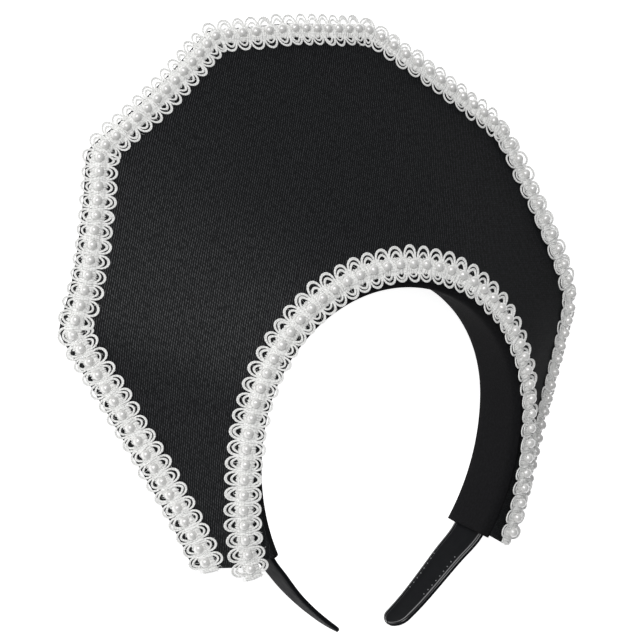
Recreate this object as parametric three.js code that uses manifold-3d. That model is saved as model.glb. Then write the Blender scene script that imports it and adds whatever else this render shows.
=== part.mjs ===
// A stiff fan-shaped crown headpiece on a plastic headband, edged with pearl braid.
// Every piece is built as it is worn: +X to the wearer's left, +Y to the back, +Z up, with the top of the
// head opening at the origin. The last group lays the whole thing on its back, face up.
import * as THREE from "three";
import { mergeVertices } from "three/addons/utils/BufferGeometryUtils.js";
import Module from "manifold-3d";

const wasm = await Module();
wasm.setup();

// Driving dimensions, in millimetres and degrees
const CROWN_RADIUS = 57.5;
const CROWN_SWEEP = 85;
const SIDE_RADIUS = 88;
const COVER_END = 137;
const BAND_TIP = 182;
const BAND_END = 187.2;

const BAND_INNER = 1.5;
const BAND_THICKNESS = 1.8;
const BAND_EDGE_BEVEL = 0.5;
const TIP_ROUNDING = 0.9;
const FIT_GAP = 0.3;

const COVER_THICKNESS = 4.8;
const COVER_WALL = 1.2;
const COVER_BACK = 25.6;
const COVER_EDGE = 0.6;
const ROLL_FRONT = -0.6;

const PANEL_THICKNESS = 1.7;
const PANEL_START = 3.6;
const PANEL_BACK = 1.2;
const PANEL_END = 136.6;

const ARCH_PITCH = 6.1;
const OUTER_PITCH = 5.97;
const PEARL_RADIUS = 2;
const PEARL_LIFT = 2.4;
const PEARL_SHOULDER = 33;
const PEARL_SIDES = 10;
const OUTER_PEARLS = 97;
const ARCH_PEARLS = 51;
const ARCH_FIRST = -25.4;
const BRAID_TOP = 1.7;
const BRAID_TABLE = 2.5;
const BRAID_INNER_EDGE = 0.5;
const BRAID_OUTER_EDGE = 1.4;
const SCALLOP_REACH = 7.3;
const SCALLOP_VALLEY = 5.3;
const SCALLOP_SHOULDER = 0.36;

const COVER_STEP = 10;
const FAN_STEP = 6.5;
const LEG_STEP = 8.5;
const SIDE_STEPS = 24;

// The plastic band's edges at stations measured along the head opening from the top
const bandEdges = [
  { at: 0, front: 2.8, back: 24.0 },
  { at: 120, front: 2.8, back: 22.9 },
  { at: 137, front: 2.8, back: 21.9 },
  { at: 160, front: 4.5, back: 20.8 },
  { at: 182, front: 2.9, back: 16.9 },
];

// How far the bare legs lie inside the line of the opening
const legs = [
  { at: 137, inset: 0 },
  { at: 150, inset: 1.7 },
  { at: 163, inset: 1.9 },
  { at: 177, inset: 1.6 },
  { at: 187, inset: 1.1 },
];

// The padded roll along the cover's front, from the inside face round to the outside
const coverRoll = [
  { out: 0, back: 2.8 },
  { out: 0.3, back: 0.8 },
  { out: 1.5, back: ROLL_FRONT + 0.2 },
  { out: PANEL_START - FIT_GAP, back: ROLL_FRONT },
  { out: 4.1, back: 1.4 },
  { out: COVER_THICKNESS, back: 4.2 },
];

// The fan: how far out of the opening the inner pearl row runs, and the slope at which the fan leans back
const fanStations = [
  { at: 0, archRow: 10.1, slope: 51.1 },
  { at: 20, archRow: 9.9, slope: 50.2 },
  { at: 40, archRow: 9.3, slope: 48.1 },
  { at: 56, archRow: 8.5, slope: 45.4 },
  { at: 72, archRow: 7.9, slope: 42.0 },
  { at: 86, archRow: 8.1, slope: 46.0 },
  { at: 104, archRow: 8.9, slope: 49.3 },
  { at: 138, archRow: 14.4, slope: 51.5 },
];

// Corners of the outer pearl row seen from the front. The side above each one has a bow, and the fan's rim
// lies a little beyond its pearls.
const rowCorners = [
  { name: "top middle", across: 0, up: 84.5, bow: 0, rim: 0.8 },
  { name: "top corner", across: 35.8, up: 82.7, bow: 0, rim: 0.8 },
  { name: "upper corner", across: 94.1, up: 42.7, bow: 0.3, rim: 0.8 },
  { name: "lower corner", across: 117.2, up: -22.6, bow: -0.4, rim: 2.6 },
  { name: "tip", across: 66.5, up: -118.8, bow: -1.2, rim: 2.7 },
];

// Pearls from the middle of the outer row to each corner, on the wearer's right and left: the braid is sewn
// by hand, a little tighter on some sides than on others
const pearlsToCorner = [
  { name: "top corner", right: 5.9, left: 6.9 },
  { name: "upper corner", right: 18.4, left: 18.9 },
  { name: "lower corner", right: 30.9, left: 30.3 },
];

const degrees = THREE.MathUtils.degToRad;
const lerp = THREE.MathUtils.lerp;
const clamp = THREE.MathUtils.clamp;

// A column of a table at a station, with smooth joins between its rows
function along(table, column, at) {
  const x = clamp(Math.abs(at), table[0].at, table[table.length - 1].at);
  const last = table.length - 1;
  const i = Math.min(last - 1, table.findLastIndex((row) => row.at <= x));
  const slopeAt = (k) => {
    const a = table[Math.max(k - 1, 0)];
    const b = table[Math.min(k + 1, last)];
    return k === 0 ? 0 : (b[column] - a[column]) / (b.at - a.at);
  };
  const span = table[i + 1].at - table[i].at;
  const t = (x - table[i].at) / span;
  const rise = t * t * (3 - 2 * t);
  const lead = t * (1 - t) * (1 - t) * span * slopeAt(i);
  const trail = t * t * (t - 1) * span * slopeAt(i + 1);
  return lerp(table[i][column], table[i + 1][column], rise) + lead + trail;
}

// The head opening: a crown arc and two tighter-turning sides, as a line of stations
const crownSweep = degrees(CROWN_SWEEP);
const crownLength = CROWN_RADIUS * crownSweep;
const sideCentre = new THREE.Vector2(
  (CROWN_RADIUS - SIDE_RADIUS) * Math.sin(crownSweep),
  (CROWN_RADIUS - SIDE_RADIUS) * Math.cos(crownSweep) - CROWN_RADIUS,
);

// A point at a station, out from the opening and back from its front plane
function place(station, out, back) {
  const s = Math.abs(station);
  const side = Math.sign(station);
  const onCrown = s < crownLength;
  const turn = onCrown ? s / CROWN_RADIUS : crownSweep + (s - crownLength) / SIDE_RADIUS;
  const radius = (onCrown ? CROWN_RADIUS : SIDE_RADIUS) + out;
  const centreX = onCrown ? 0 : sideCentre.x;
  const centreZ = onCrown ? -CROWN_RADIUS : sideCentre.y;
  return new THREE.Vector3(
    side * (centreX + radius * Math.sin(turn)),
    back,
    centreZ + radius * Math.cos(turn),
  );
}

// The station and reach of a point seen from the front
function locate(across, up) {
  const turn = Math.atan2(across, up + CROWN_RADIUS);
  if (turn < crownSweep) {
    return { at: turn * CROWN_RADIUS, out: Math.hypot(across, up + CROWN_RADIUS) - CROWN_RADIUS };
  }
  const x = across - sideCentre.x;
  const z = up - sideCentre.y;
  const sideTurn = Math.atan2(x, z) - crownSweep;
  return { at: crownLength + sideTurn * SIDE_RADIUS, out: Math.hypot(x, z) - SIDE_RADIUS };
}

// Corners moved out from the pearl row's sides to the rim, with mitred joins
function spreadToRim(corners) {
  const lines = corners.slice(1).map((corner, i) => {
    const from = corners[i];
    const run = new THREE.Vector2(corner.across - from.across, corner.up - from.up).normalize();
    const out = new THREE.Vector2(-run.y, run.x);
    return { out, level: out.x * from.across + out.y * from.up + corner.rim };
  });
  return corners.map((corner, i) => {
    const a = lines[Math.max(i - 1, 0)];
    const b = lines[Math.min(i, lines.length - 1)];
    if (a === b) {
      const across = corner.across + a.out.x * corner.rim;
      return { ...corner, across: i === 0 ? 0 : across, up: corner.up + a.out.y * corner.rim };
    }
    const cross = a.out.x * b.out.y - a.out.y * b.out.x;
    return {
      ...corner,
      across: (a.level * b.out.y - b.level * a.out.y) / cross,
      up: (a.out.x * b.level - b.out.x * a.level) / cross,
    };
  });
}

// The outline through corners as points seen from the front, each side with its bow
function outline(corners, steps) {
  const points = [];
  corners.slice(1).forEach((corner, i) => {
    const from = corners[i];
    const run = new THREE.Vector2(corner.across - from.across, corner.up - from.up);
    const out = new THREE.Vector2(-run.y, run.x).normalize();
    for (let k = i === 0 ? 0 : 1; k <= steps; k++) {
      const t = k / steps;
      const bow = 4 * t * (1 - t) * corner.bow;
      points.push(new THREE.Vector2(from.across + run.x * t + out.x * bow, from.up + run.y * t + out.y * bow));
    }
  });
  return points;
}

const archRow = (s) => along(fanStations, "archRow", s);
const fanSlope = (s) => degrees(along(fanStations, "slope", s));

// How far back pearls sit at a place on the fan: level at the inner row, then down the slope
const pearlDepth = (s, out) => (out - archRow(s)) * Math.tan(fanSlope(s));

// The fan's face in section: its start on the band, the fold under the inner row, and the slope beyond
function foldAt(s) {
  const slope = fanSlope(s);
  const start = new THREE.Vector2(PANEL_START, ROLL_FRONT + 0.1);
  let inner = slope;
  const fold = new THREE.Vector2();
  for (let pass = 0; pass < 8; pass++) {
    const lean = (inner + slope) / 2;
    fold.set(archRow(s) - PEARL_LIFT * Math.sin(lean), PEARL_LIFT * Math.cos(lean));
    inner = Math.atan2(fold.y - start.y, fold.x - start.x);
  }
  return { start, fold, inner, slope };
}

// A station list with even steps that also holds the given stations
function stations(from, to, step, kept = []) {
  const count = Math.round((to - from) / step);
  const even = Array.from({ length: count + 1 }, (_, i) => lerp(from, to, i / count));
  const free = even.filter((s) => kept.every((k) => Math.abs(k - s) > step * 0.4));
  return [...free, ...kept].sort((a, b) => a - b);
}

// A closed body through rings of points, with its two ends capped
function loft(rings, endOutline) {
  const size = rings[0].length;
  const faces = [];
  for (let i = 0; i + 1 < rings.length; i++) {
    for (let k = 0; k < size; k++) {
      const a = i * size + k;
      const b = i * size + ((k + 1) % size);
      faces.push(a, b, a + size, b, b + size, a + size);
    }
  }
  const top = (rings.length - 1) * size;
  for (const [a, b, c] of THREE.ShapeUtils.triangulateShape(endOutline(0), [])) {
    faces.push(a, c, b);
  }
  for (const [a, b, c] of THREE.ShapeUtils.triangulateShape(endOutline(rings.length - 1), [])) {
    faces.push(top + a, top + b, top + c);
  }
  const geometry = new THREE.BufferGeometry().setFromPoints(rings.flat());
  geometry.setIndex(faces);
  return facingOut(geometry);
}

// The same body with its faces turned outwards
function facingOut(geometry) {
  const index = geometry.index.array;
  const [a, b, c] = [new THREE.Vector3(), new THREE.Vector3(), new THREE.Vector3()];
  let volume = 0;
  for (let i = 0; i < index.length; i += 3) {
    a.fromBufferAttribute(geometry.attributes.position, index[i]);
    b.fromBufferAttribute(geometry.attributes.position, index[i + 1]);
    c.fromBufferAttribute(geometry.attributes.position, index[i + 2]);
    volume += a.dot(b.cross(c));
  }
  if (volume < 0) {
    for (let i = 0; i < index.length; i += 3) {
      [index[i + 1], index[i + 2]] = [index[i + 2], index[i + 1]];
    }
  }
  return geometry;
}

// A loft whose section is drawn as out and back from the opening
function bandLoft(list, sectionAt) {
  const sections = list.map(sectionAt);
  const rings = sections.map((section, i) => section.map((p) => place(list[i], p.x, p.y)));
  return loft(rings, (i) => sections[i]);
}

const polygon = (...pairs) => pairs.map(([x, y]) => new THREE.Vector2(x, y));

// Solids for joining and cutting
function toSolid(geometry) {
  const bare = new THREE.BufferGeometry();
  bare.setAttribute("position", geometry.attributes.position.clone());
  bare.setIndex(geometry.index);
  const merged = mergeVertices(bare, 1e-4);
  return new wasm.Manifold(
    new wasm.Mesh({
      numProp: 3,
      vertProperties: new Float32Array(merged.attributes.position.array),
      triVerts: new Uint32Array(merged.index.array),
    }),
  );
}

function toGeometry(solid) {
  const mesh = solid.getMesh();
  const geometry = new THREE.BufferGeometry();
  geometry.setAttribute("position", new THREE.BufferAttribute(new Float32Array(mesh.vertProperties), 3));
  geometry.setIndex(new THREE.BufferAttribute(new Uint32Array(mesh.triVerts), 1));
  return geometry;
}

// The plastic headband, a thin strip with bevelled edges and rounded tips
function headbandSection(s) {
  const a = Math.abs(s);
  const front = along(bandEdges, "front", s);
  const back = along(bandEdges, "back", s);
  const middle = (front + back) / 2;
  const tip = clamp((a - BAND_TIP) / (BAND_END - BAND_TIP), 0, 1);
  const half = ((back - front) / 2) * Math.sqrt(1 - tip * tip * TIP_ROUNDING);
  const inner = BAND_INNER - along(legs, "inset", s);
  const outer = inner + BAND_THICKNESS;
  const bevel = BAND_EDGE_BEVEL;
  return polygon(
    [inner, middle - half],
    [outer - bevel, middle - half],
    [outer, middle - half + bevel],
    [outer, middle + half - bevel],
    [outer - bevel, middle + half],
    [inner, middle + half],
  );
}

const coveredStations = stations(-COVER_END, COVER_END, COVER_STEP);

function headbandStations() {
  const tip = [0.5, 0.8, 0.95, 1].map((t) => lerp(BAND_TIP, BAND_END, t));
  const bare = [...stations(COVER_END + LEG_STEP / 2, BAND_TIP, LEG_STEP), ...tip];
  return [...bare.map((s) => -s).reverse(), ...coveredStations, ...bare];
}

// The cloth sleeve round the band, open at both ends, with a padded roll along its front
function coverSection() {
  const roll = coverRoll.map(({ out, back }) => [out, back]);
  return polygon(
    ...roll,
    [COVER_THICKNESS, COVER_BACK - COVER_EDGE],
    [COVER_THICKNESS - COVER_EDGE, COVER_BACK],
    [COVER_EDGE, COVER_BACK],
    [0, COVER_BACK - COVER_EDGE],
  );
}

function sleeveBoreSection() {
  const front = bandEdges[0].front - FIT_GAP;
  const back = bandEdges[0].back + FIT_GAP;
  const outer = BAND_INNER + BAND_THICKNESS + FIT_GAP;
  return polygon([COVER_WALL, front], [outer, front], [outer, back], [COVER_WALL, back]);
}

function bandCover() {
  const shell = bandLoft(coveredStations, coverSection);
  const past = COVER_END + COVER_STEP;
  const bore = bandLoft([-past, ...coveredStations, past], sleeveBoreSection);
  return toGeometry(toSolid(shell).subtract(toSolid(bore)));
}

// The fan, a stiff cloth-covered sheet that starts at the band's roll and ends at the rim
const rimCorners = spreadToRim(rowCorners);
const rimPoints = outline(rimCorners, SIDE_STEPS).map((p) => locate(p.x, p.y));

function rimReach(s) {
  const at = Math.abs(s);
  const end = Math.max(1, rimPoints.findIndex((p) => p.at >= at));
  const [p, q] = [rimPoints[end - 1], rimPoints[end]];
  return lerp(p.out, q.out, (at - p.at) / (q.at - p.at));
}

function fanSection(s) {
  const { start, fold, inner, slope } = foldAt(s);
  const rim = new THREE.Vector2(rimReach(s), 0);
  rim.y = fold.y + (rim.x - fold.x) * Math.tan(slope);
  const lean = (inner + slope) / 2;
  const behind = (p, angle, depth) => [p.x - depth * Math.sin(angle), p.y + depth * Math.cos(angle)];
  const t = PANEL_THICKNESS;
  return polygon(
    start.toArray(),
    fold.toArray(),
    rim.toArray(),
    behind(rim, slope, t),
    behind(fold, lean, t),
    [COVER_THICKNESS, PANEL_BACK],
  );
}

function fan() {
  const corners = rimCorners.slice(1, -1).map((c) => locate(c.across, c.up).at);
  const kept = [...corners.map((s) => -s), ...corners];
  return bandLoft(stations(-PANEL_END, PANEL_END, FAN_STEP, kept), fanSection);
}

// A row of pearls: a smooth path measured from its middle
class PearlRow {
  constructor(points) {
    this.points = points;
    this.lengths = [0];
    for (let i = 1; i < points.length; i++) {
      this.lengths.push(this.lengths[i - 1] + points[i].distanceTo(points[i - 1]));
    }
    this.middle = this.lengths[(points.length - 1) / 2];
  }

  onPath(distance) {
    const target = this.middle + distance;
    const last = this.lengths.length - 1;
    const found = this.lengths.findIndex((l) => l >= target);
    const i = found < 0 ? last : clamp(found, 1, last);
    const t = (target - this.lengths[i - 1]) / (this.lengths[i] - this.lengths[i - 1]);
    return this.points[i - 1].clone().lerp(this.points[i], t);
  }

  heading(distance) {
    const reach = ARCH_PITCH / 2;
    return this.onPath(distance + reach).sub(this.onPath(distance - reach)).normalize();
  }
}

// The row as it runs a little inside sharp corners, as a stitched braid does
function rounded(row) {
  const reach = ARCH_PITCH / 2;
  const steps = Math.round(row.middle);
  const points = Array.from({ length: 2 * steps + 1 }, (_, i) => {
    const distance = lerp(reach - row.middle, row.middle - reach, i / (2 * steps));
    const point = row.onPath(distance).multiplyScalar(2);
    return point.add(row.onPath(distance - reach)).add(row.onPath(distance + reach)).divideScalar(4);
  });
  return new PearlRow(points);
}

// Where the braid lies at a point of a row: its foot on the fan, and the ways along, across and off it
function braidFrame(row, distance, slopeAt) {
  const pearl = row.onPath(distance);
  const heading = row.heading(distance);
  const spot = locate(Math.abs(pearl.x), pearl.z);
  const s = spot.at * Math.sign(pearl.x);
  const slope = slopeAt(s);
  const down = place(s, 1, 0).sub(place(s, 0, 0)).multiplyScalar(Math.cos(slope)).setY(Math.sin(slope));
  const edge = down.addScaledVector(heading, -down.dot(heading)).normalize();
  const up = new THREE.Vector3().crossVectors(edge, heading).normalize();
  if (up.y > 0) up.negate();
  return { foot: pearl.addScaledVector(up, -PEARL_LIFT), heading, edge, up };
}

// The braid in section: flat under the pearls, thin at its edges, the outer one standing off the fan
function braidRing({ foot, edge, up }, reach) {
  const at = (across, height) => foot.clone().addScaledVector(edge, across).addScaledVector(up, height);
  return [
    at(reach, BRAID_OUTER_EDGE),
    at(BRAID_TABLE, BRAID_TOP),
    at(-BRAID_TABLE, BRAID_TOP),
    at(-reach, BRAID_INNER_EDGE),
  ];
}

// A pearl that rises from the flat of the braid between two rings: its own points and all the faces that
// close the flat around it
function pearlSkin(frame, corners) {
  const across = new THREE.Vector3().crossVectors(frame.up, frame.heading).normalize();
  const ahead = new THREE.Vector3().crossVectors(across, frame.up);
  const centre = frame.foot.clone().addScaledVector(frame.up, PEARL_LIFT);
  const circle = (height) => Array.from({ length: PEARL_SIDES }, (_, k) => {
    const turn = (2 * Math.PI * k) / PEARL_SIDES;
    const radius = Math.sqrt(PEARL_RADIUS ** 2 - height ** 2);
    const rim = centre.clone().addScaledVector(frame.up, height);
    return rim.addScaledVector(across, radius * Math.cos(turn)).addScaledVector(ahead, radius * Math.sin(turn));
  });
  const seat = circle(BRAID_TOP - PEARL_LIFT);
  const shoulder = circle(PEARL_RADIUS * Math.sin(degrees(PEARL_SHOULDER)));
  const top = centre.clone().addScaledVector(frame.up, PEARL_RADIUS);
  const flat = (p) => new THREE.Vector2(p.clone().sub(centre).dot(ahead), p.clone().sub(centre).dot(across));
  const faces = THREE.ShapeUtils.triangulateShape(corners.map(flat), [seat.map(flat)]);
  const ring = (level, k) => corners.length + level * PEARL_SIDES + (k % PEARL_SIDES);
  for (let k = 0; k < PEARL_SIDES; k++) {
    faces.push(
      [ring(0, k + 1), ring(0, k), ring(1, k)],
      [ring(0, k + 1), ring(1, k), ring(1, k + 1)],
      [ring(1, k + 1), ring(1, k), ring(2, 0)],
    );
  }
  return { points: [...seat, ...shoulder, top], faces };
}

// A length of scalloped braid with its pearls, fused into one body. Its steps are pearls, counted from the
// middle of the row.
function braid(row, distanceAt, first, count, slopeAt) {
  const points = [];
  const faces = [];
  const rings = [];
  const frameAt = (step) => braidFrame(row, distanceAt(step), slopeAt);
  const addRing = (step, reach) => {
    const ring = braidRing(frameAt(step), reach);
    rings.push(ring.map((_, i) => points.length + i));
    points.push(...ring);
  };
  for (let i = 0; i < count; i++) {
    addRing(first + i - 0.5, SCALLOP_VALLEY);
    addRing(first + i - SCALLOP_SHOULDER, SCALLOP_REACH);
    addRing(first + i + SCALLOP_SHOULDER, SCALLOP_REACH);
  }
  addRing(first + count - 0.5, SCALLOP_VALLEY);
  rings.slice(1).forEach((after, i) => {
    const before = rings[i];
    const holdsPearl = i % 3 === 1;
    before.forEach((a, k) => {
      if (holdsPearl && k === 1) return;
      const next = (k + 1) % before.length;
      faces.push([a, before[next], after[k]], [before[next], after[next], after[k]]);
    });
    if (holdsPearl) {
      const corners = [before[1], before[2], after[2], after[1]];
      const pearl = pearlSkin(frameAt(first + (i - 1) / 3), corners.map((c) => points[c]));
      const known = [...corners, ...pearl.points.map((_, j) => points.length + j)];
      points.push(...pearl.points);
      faces.push(...pearl.faces.map((face) => face.map((j) => known[j])));
    }
  });
  const [start, end] = [rings[0], rings[rings.length - 1]];
  for (let k = 1; k + 1 < start.length; k++) {
    faces.push([start[0], start[k + 1], start[k]], [end[0], end[k], end[k + 1]]);
  }
  return new THREE.BufferGeometry().setFromPoints(points).setIndex(faces.flat());
}

// Both halves of a row as one path, from the wearer's right end to the left end
function mirrored(half) {
  const other = half.slice(1).map((p) => new THREE.Vector3(-p.x, p.y, p.z)).reverse();
  return rounded(new PearlRow([...other, ...half]));
}

function outerRow() {
  const side = outline(rowCorners, SIDE_STEPS);
  const tip = side[side.length - 1];
  const onwards = tip.clone().sub(side[side.length - 2]).setLength(OUTER_PITCH / 2);
  const beyond = Array.from({ length: 5 }, (_, i) => tip.clone().addScaledVector(onwards, i + 1));
  return mirrored(
    [...side, ...beyond].map((p) => {
      const spot = locate(p.x, p.y);
      return new THREE.Vector3(p.x, pearlDepth(spot.at, spot.out), p.y);
    }),
  );
}

function innerRow() {
  return mirrored(stations(0, 150, 1).map((s) => {
    const p = place(s || 1e-9, archRow(s), 0);
    return s === 0 ? p.setX(0) : p;
  }));
}

// How far along a row it passes a corner
function distanceNear(row, corner) {
  const gaps = row.points.map((p) => Math.hypot(p.x - corner.across, p.z - corner.up));
  return row.lengths[gaps.indexOf(Math.min(...gaps))] - row.middle;
}

// The outer row's distance from its middle to a pearl, spaced evenly from corner to corner
function outerSpacing(row) {
  const last = (OUTER_PEARLS - 1) / 2;
  const marks = pearlsToCorner.map((mark, i) => ({ ...mark, reach: distanceNear(row, rowCorners[i + 1]) }));
  marks.unshift({ right: 0, left: 0, reach: 0 });
  marks.push({ right: last, left: last, reach: last * OUTER_PITCH });
  return (step) => {
    const hand = step < 0 ? "right" : "left";
    const pearls = Math.abs(step);
    const end = marks.findIndex((mark, i) => i > 0 && (mark[hand] >= pearls || i === marks.length - 1));
    const [a, b] = [marks[end - 1], marks[end]];
    return Math.sign(step) * lerp(a.reach, b.reach, (pearls - a[hand]) / (b[hand] - a[hand]));
  };
}

function outerBraid() {
  const row = outerRow();
  return braid(row, outerSpacing(row), -(OUTER_PEARLS - 1) / 2, OUTER_PEARLS, fanSlope);
}

// The arch's braid lies flat over the fan's fold, midway between the slopes on its two sides
function archBraid() {
  const evenly = (step) => step * ARCH_PITCH;
  return braid(innerRow(), evenly, ARCH_FIRST, ARCH_PEARLS, (s) => (foldAt(s).inner + fanSlope(s)) / 2);
}

// Finishes
const blackPlastic = new THREE.MeshStandardMaterial({ color: 0x141517, roughness: 0.22, metalness: 0 });
const plainCloth = new THREE.MeshStandardMaterial({ color: 0x1a1a1c, roughness: 0.75, metalness: 0 });
const twillCloth = new THREE.MeshStandardMaterial({ color: 0x26272a, roughness: 0.7, metalness: 0 });
const whiteBraid = new THREE.MeshStandardMaterial({ color: 0xf2f1ee, roughness: 0.6, metalness: 0 });

function named(name, geometry, material) {
  geometry.computeVertexNormals();
  const mesh = new THREE.Mesh(geometry, material);
  mesh.name = name;
  return mesh;
}

const worn = new THREE.Group();
worn.add(
  named("headband", bandLoft(headbandStations(), headbandSection), blackPlastic),
  named("band_cover", bandCover(), plainCloth),
  named("fan_panel", fan(), twillCloth),
  named("outer_pearl_braid", outerBraid(), whiteBraid),
  named("arch_pearl_braid", archBraid(), whiteBraid),
);

// The lean of the floor that it lies back on: the line, seen from the side, that touches the fan's top
// corners above the balance height and the leg tips below it
function leanOfFloor(group, balance) {
  const points = group.children.flatMap((mesh) => {
    const p = mesh.geometry.attributes.position;
    return Array.from({ length: p.count }, (_, i) => ({ y: p.getY(i), z: p.getZ(i) }));
  });
  const deepest = (list, lean) => list.reduce((a, b) => (b.y - lean * b.z > a.y - lean * a.z ? b : a));
  const above = points.filter((p) => p.z > balance);
  const below = points.filter((p) => p.z <= balance);
  let lean = 0;
  for (let pass = 0; pass < 6; pass++) {
    const corner = deepest(above, lean);
    const foot = deepest(below, lean);
    lean = (corner.y - foot.y) / (corner.z - foot.z);
  }
  return lean;
}

const tilt = Math.atan(leanOfFloor(worn, -CROWN_RADIUS));
worn.rotation.x = tilt - Math.PI / 2;
worn.updateMatrixWorld(true);
const reach = new THREE.Box3().setFromObject(worn, true);
worn.position.set(0, -(reach.min.y + reach.max.y) / 2, -reach.min.z);

const lying = new THREE.Group();
lying.add(worn);

export default lying;
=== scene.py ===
"""Dresses the fan-shaped crown headpiece: cloth, plastic and pearl braid over its solids."""

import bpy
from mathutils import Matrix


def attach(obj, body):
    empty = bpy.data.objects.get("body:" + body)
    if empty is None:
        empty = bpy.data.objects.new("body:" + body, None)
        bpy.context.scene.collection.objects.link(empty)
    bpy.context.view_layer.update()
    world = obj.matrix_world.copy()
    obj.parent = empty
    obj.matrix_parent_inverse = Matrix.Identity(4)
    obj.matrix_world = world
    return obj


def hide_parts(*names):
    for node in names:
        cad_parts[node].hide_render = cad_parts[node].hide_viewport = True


bl_info = {
    "name": "Fan Crown Headpiece",
    "version": (1, 0, 0),
    "blender": (4, 5, 0),
    "location": "3D View > Sidebar > Headpiece",
    "description": "Makes the cloth, plastic and pearl braid of a fan-shaped crown headpiece",
    "category": "Object",
}

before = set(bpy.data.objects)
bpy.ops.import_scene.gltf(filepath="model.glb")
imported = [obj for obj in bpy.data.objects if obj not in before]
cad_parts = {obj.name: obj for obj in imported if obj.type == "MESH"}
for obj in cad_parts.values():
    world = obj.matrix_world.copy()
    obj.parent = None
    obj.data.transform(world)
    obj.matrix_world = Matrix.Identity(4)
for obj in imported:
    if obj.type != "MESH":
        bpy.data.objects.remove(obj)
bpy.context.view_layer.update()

import math

import bmesh
import bpy
import numpy as np
from mathutils import Matrix, Vector, noise

# Sizes below are in millimetres as the headpiece is worn: across to the wearer's left, back, and up
CROWN_RADIUS = 57.5
CROWN_SWEEP = math.radians(85)
SIDE_RADIUS = 88.0
CROWN_LENGTH = CROWN_RADIUS * CROWN_SWEEP
SIDE_CENTRE = (
    (CROWN_RADIUS - SIDE_RADIUS) * math.sin(CROWN_SWEEP),
    (CROWN_RADIUS - SIDE_RADIUS) * math.cos(CROWN_SWEEP) - CROWN_RADIUS,
)
COVER_END = 137.0
BAND_TIP = 182.0
BAND_END = 187.2
BAND_INNER = 1.5
BAND_THICKNESS = 1.8
BAND_UNDER_COVER = 6
TIP_ROUNDING = 0.9

COVER_THICKNESS = 4.8
ROLL_FRONT = -0.6

PANEL_THICKNESS = 1.7
PANEL_START = 3.6
PANEL_BACK = 1.2
PANEL_END = 136.0
PANEL_TUCK = 0.6
END_CUT = 2.2

ARCH_PITCH = 6.1
OUTER_PITCH = 5.97
PEARL_LIFT = 2.4
OUTER_PEARLS = 97
ARCH_PEARLS = 51
# Where the first arch pearl sits, in pearls from the middle of its row
ARCH_FIRST = -25.4
ARCH_ROW_END = 150
# How many steps each side of the outline takes, and how many half pearls the outer row runs on past its end
OUTLINE_STEPS = 24
RUN_ON_STEPS = 5

# How the worn headpiece lies on its back: the turn about the wearer's side axis and the move that follows
LIE_BACK = math.radians(-69.210023)
LIE_MOVE = (0.0, 5.143838, 64.059128)
# A millimetre in metres
MM = 0.001

BAND_EDGES = (
    {"at": 0, "front": 2.8, "back": 24.0},
    {"at": 120, "front": 2.8, "back": 22.9},
    {"at": 137, "front": 2.8, "back": 21.9},
    {"at": 160, "front": 4.5, "back": 20.8},
    {"at": 182, "front": 2.9, "back": 16.9},
)
LEGS = (
    {"at": 137, "inset": 0},
    {"at": 150, "inset": 1.7},
    {"at": 163, "inset": 1.9},
    {"at": 177, "inset": 1.6},
    {"at": 187, "inset": 1.1},
)
FAN_STATIONS = (
    {"at": 0, "arch_row": 10.1, "slope": 51.1},
    {"at": 20, "arch_row": 9.9, "slope": 50.2},
    {"at": 40, "arch_row": 9.3, "slope": 48.1},
    {"at": 56, "arch_row": 8.5, "slope": 45.4},
    {"at": 72, "arch_row": 7.9, "slope": 42.0},
    {"at": 86, "arch_row": 8.1, "slope": 46.0},
    {"at": 104, "arch_row": 8.9, "slope": 49.3},
    {"at": 138, "arch_row": 14.4, "slope": 51.5},
)
# Corners of the outer pearl row seen from the front, and for the side that ends at each its bow and how
# far the fan's rim lies beyond the pearls
ROW_CORNERS = (
    {"across": 0.0, "up": 84.5, "bow": 0.0, "rim": 0.8},
    {"across": 35.8, "up": 82.7, "bow": 0.0, "rim": 0.8},
    {"across": 94.1, "up": 42.7, "bow": 0.3, "rim": 0.8},
    {"across": 117.2, "up": -22.6, "bow": -0.4, "rim": 2.6},
    {"across": 66.5, "up": -118.8, "bow": -1.2, "rim": 2.7},
)
# Pearls from the middle of the outer row to the top, upper and lower corners, on the wearer's right and left
PEARLS_TO_CORNER = (
    {"right": 5.9, "left": 6.9},
    {"right": 18.4, "left": 18.9},
    {"right": 30.9, "left": 30.3},
)


# The shape of the headpiece

def along(table, column, at):
    """A column of a table at a station, with smooth joins between its rows."""
    x = min(max(abs(at), table[0]["at"]), table[-1]["at"])
    last = len(table) - 1
    i = min(last - 1, max(k for k, row in enumerate(table) if row["at"] <= x))

    def slope_at(k):
        a = table[max(k - 1, 0)]
        b = table[min(k + 1, last)]
        return 0.0 if k == 0 else (b[column] - a[column]) / (b["at"] - a["at"])

    span = table[i + 1]["at"] - table[i]["at"]
    t = (x - table[i]["at"]) / span
    rise = t * t * (3 - 2 * t)
    lead = t * (1 - t) * (1 - t) * span * slope_at(i)
    trail = t * t * (t - 1) * span * slope_at(i + 1)
    return table[i][column] * (1 - rise) + table[i + 1][column] * rise + lead + trail


def place(station, out, back):
    """A point at a station round the head opening, out from the opening and back from its front plane."""
    s = abs(station)
    side = math.copysign(1.0, station)
    if s < CROWN_LENGTH:
        turn, radius, centre = s / CROWN_RADIUS, CROWN_RADIUS + out, (0.0, -CROWN_RADIUS)
    else:
        turn = CROWN_SWEEP + (s - CROWN_LENGTH) / SIDE_RADIUS
        radius, centre = SIDE_RADIUS + out, SIDE_CENTRE
    return np.array([side * (centre[0] + radius * math.sin(turn)), back, centre[1] + radius * math.cos(turn)])


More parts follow.
